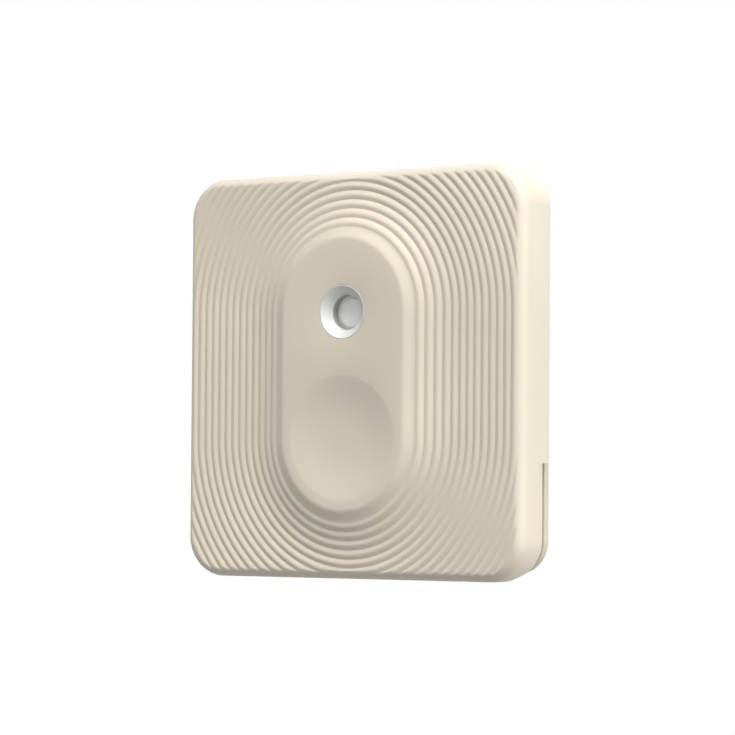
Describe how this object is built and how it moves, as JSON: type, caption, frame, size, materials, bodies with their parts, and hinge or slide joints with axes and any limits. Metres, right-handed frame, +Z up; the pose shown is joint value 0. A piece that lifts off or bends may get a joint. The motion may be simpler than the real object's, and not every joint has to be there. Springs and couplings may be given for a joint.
{
  "type": "temperature humidity sensor",
  "caption": "Square wall temperature and humidity sensor with concentric ribs, a raised pill-shaped boss, a recessed round button and a pull-off back cover.",
  "frame": {"origin": "centre of the adhesive face that sticks to the wall", "axes": "+Y from the front into the wall, along the adhesive face's outward normal; +Z up"},
  "size_m": [0.044, 0.0085, 0.044],
  "materials": {
    "ivory_shell": "fine matte texture",
    "ivory_cover": "fine matte texture",
    "white_bezel": "satin",
    "grey_button": "satin, slightly translucent",
    "frame_plastic": "matte",
    "board": "solder mask",
    "black_chip": "matte moulded",
    "plunger": "matte",
    "ceramic": "fired ceramic",
    "led_lens": "clear",
    "steel": "bright tinned sheet",
    "cell_steel": "brushed",
    "contact_metal": "gold flash",
    "cell_seal": "matte",
    "cell_filling": "pressed powder",
    "foam": "closed-cell foam",
    "adhesive": "foam tape"
  },
  "bodies": {
    "wall_cover": {"back_cover": "ivory_cover", "adhesive_pad": "adhesive", "cell_pad": "foam"},
    "sensor_unit": {"front_housing": "ivory_shell", "port_bezel": "white_bezel", "circuit_board": "board", "switch_body": "black_chip", "humidity_sensor": "black_chip", "sensor_gasket": "foam", "status_led": "led_lens", "radio_chip": "black_chip", "crystal": "steel", "shield_can": "steel", "chip_antenna": "ceramic", "board_passives": "ceramic", "bulk_capacitor": "ceramic", "inner_frame": "frame_plastic", "frame_screws": "steel", "negative_contact": "contact_metal", "positive_contact": "contact_metal"},
    "button": {"control_button": "grey_button", "switch_plunger": "plunger"},
    "coin_cell": {"cell_can": "cell_steel", "cell_cap": "cell_steel", "cell_gasket": "cell_seal", "cell_core": "cell_filling"}
  },
  "joints": [
    {"name": "sensor_pull", "type": "slide", "parent": "wall_cover", "child": "sensor_unit", "axis": [0, -1, 0], "range_m": [0, 0.024]},
    {"name": "button_press", "type": "slide", "parent": "sensor_unit", "child": "button", "axis": [0, 1, 0], "range_m": [0, 0.00025], "stiffness_N_per_m": 4000},
    {"name": "cell_lift", "type": "slide", "parent": "sensor_unit", "child": "coin_cell", "axis": [0, 1, 0], "range_m": [0, 0.006]}
  ],
  "couplings": [
    {"joint": "cell_lift", "follows": "sensor_pull", "ratio": 0.25}
  ]
}
